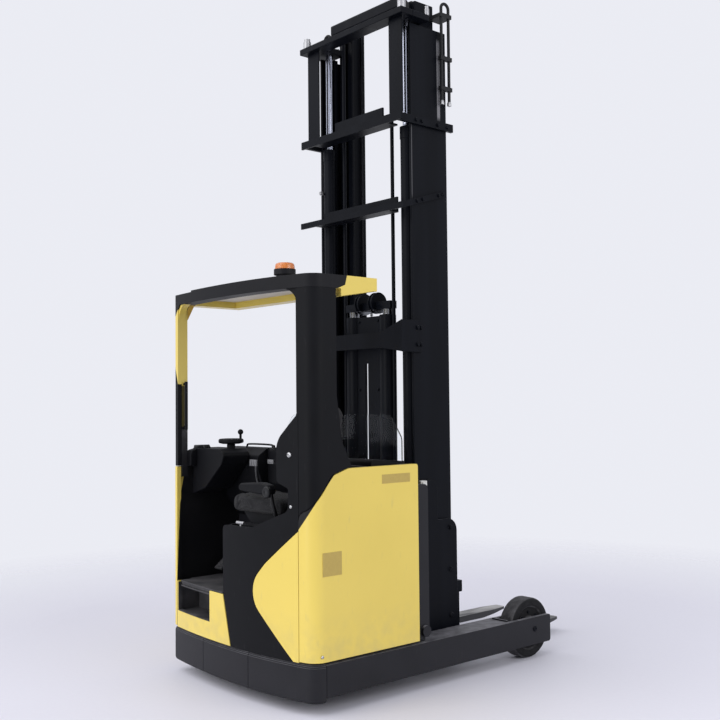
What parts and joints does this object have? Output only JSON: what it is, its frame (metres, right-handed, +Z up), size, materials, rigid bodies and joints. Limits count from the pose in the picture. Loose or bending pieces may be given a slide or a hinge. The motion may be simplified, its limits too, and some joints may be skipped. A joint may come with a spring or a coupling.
{
  "type": "reach truck",
  "caption": "Sit-on reach truck with a side-facing cab under an overhead guard, straddle legs on load wheels, and a telescopic mast that reaches forward, lifts, tilts and side-shifts its forks",
  "frame": {"origin": "floor level under the middle of the bounding box, forks lowered and mast drawn back", "axes": "+X right of the truck, +Y forward to the forks, +Z up"},
  "size_m": [1.266, 2.43, 3.9],
  "materials": {
    "yellow_paint": "gloss yellow paint",
    "black_paint": "satin black paint",
    "mast_black": "gloss black paint",
    "black_plastic": "grained black plastic",
    "floor_rubber": "ribbed mat",
    "hose_rubber": "smooth hose",
    "seat_fabric": "dark cloth",
    "roof_plastic": "light matt panel",
    "amber_lens": "clear amber",
    "clear_screen": "clear",
    "chrome_rod": "polished",
    "bare_steel": "machined",
    "battery_steel": "dark grey paint",
    "motor_cast": "cast, dark grey",
    "wheel_tread": "solid tread on an iron hub",
    "fork_steel": "forged, black"
  },
  "bodies": {
    "chassis": {"chassis_deck": "black_paint", "bumper": "black_paint", "legs": "black_paint", "side_cover_right": "yellow_paint", "side_cover_left": "yellow_paint", "rear_panel": "black_plastic", "rear_bulb": "yellow_paint", "step_panel": "yellow_paint", "cab_floor": "floor_rubber", "dash": "black_plastic", "console": "black_plastic", "steering_wheel": "black_plastic", "seat_base": "black_plastic", "seat_cushion": "seat_fabric", "seat_back": "seat_fabric", "pillar_right": "black_plastic", "pillar_left": "black_plastic", "guard_rear": "black_plastic", "guard_frame": "yellow_paint", "roof_panel": "roof_plastic", "beacon_lens": "amber_lens", "battery": "battery_steel", "battery_cover": "black_plastic", "screen": "clear_screen", "drive_motor": "motor_cast", "reach_barrel": "mast_black"},
    "turret": {"drive_turret": "motor_cast"},
    "drive_wheel_body": {"drive_wheel": "wheel_tread"},
    "right_wheel": {"load_wheel_right": "wheel_tread"},
    "left_wheel": {"load_wheel_left": "wheel_tread"},
    "outer_stage": {"reach_frame": "mast_black", "reach_rod": "chrome_rod", "mast_outer": "mast_black", "lift_barrels": "mast_black"},
    "middle_stage": {"mast_middle": "mast_black", "mast_hoses": "hose_rubber", "lift_rods": "chrome_rod"},
    "inner_stage": {"mast_inner": "mast_black", "free_barrels": "mast_black"},
    "lift_head": {"free_crosshead": "mast_black"},
    "carriage": {"fork_carriage": "mast_black", "lift_chains": "bare_steel"},
    "tilting_frame": {"tilt_frame": "mast_black"},
    "fork_frame": {"fork_bars": "mast_black", "forks": "fork_steel"}
  },
  "joints": [
    {"name": "load_wheel_right_spin", "type": "hinge", "parent": "chassis", "child": "right_wheel", "pos_m": [0.5475, 0.525, 0.175], "axis": [1, 0, 0], "continuous": true},
    {"name": "load_wheel_left_spin", "type": "hinge", "parent": "chassis", "child": "left_wheel", "pos_m": [-0.5475, 0.525, 0.175], "axis": [1, 0, 0], "continuous": true},
    {"name": "steer", "type": "hinge", "parent": "chassis", "child": "turret", "pos_m": [0.11, -0.95, 0.172], "axis": [0, 0, 1], "range_deg": [-90, 90]},
    {"name": "drive_spin", "type": "hinge", "parent": "turret", "child": "drive_wheel_body", "pos_m": [0.11, -0.95, 0.172], "axis": [1, 0, 0], "continuous": true},
    {"name": "reach", "type": "slide", "parent": "chassis", "child": "outer_stage", "axis": [0, 1, 0], "range_m": [0, 0.55]},
    {"name": "mast_lift", "type": "slide", "parent": "outer_stage", "child": "middle_stage", "axis": [0, 0, 1], "range_m": [0, 2.6]},
    {"name": "inner_lift", "type": "slide", "parent": "middle_stage", "child": "inner_stage", "axis": [0, 0, 1], "range_m": [0, 2.6]},
    {"name": "free_lift", "type": "slide", "parent": "inner_stage", "child": "carriage", "axis": [0, 0, 1], "range_m": [0, 2.9], "deforming": ["lift_chains"]},
    {"name": "head_lift", "type": "slide", "parent": "inner_stage", "child": "lift_head", "axis": [0, 0, 1], "range_m": [0, 1.45]},
    {"name": "fork_tilt", "type": "hinge", "parent": "carriage", "child": "tilting_frame", "pos_m": [0, 0.065, 0.18], "axis": [1, 0, 0], "range_deg": [-2, 3]},
    {"name": "side_shift", "type": "slide", "parent": "tilting_frame", "child": "fork_frame", "axis": [1, 0, 0], "range_m": [-0.075, 0.075]}
  ],
  "couplings": [
    {"joint": "inner_lift", "follows": "mast_lift", "ratio": 1},
    {"joint": "head_lift", "follows": "free_lift", "ratio": 0.5}
  ]
}
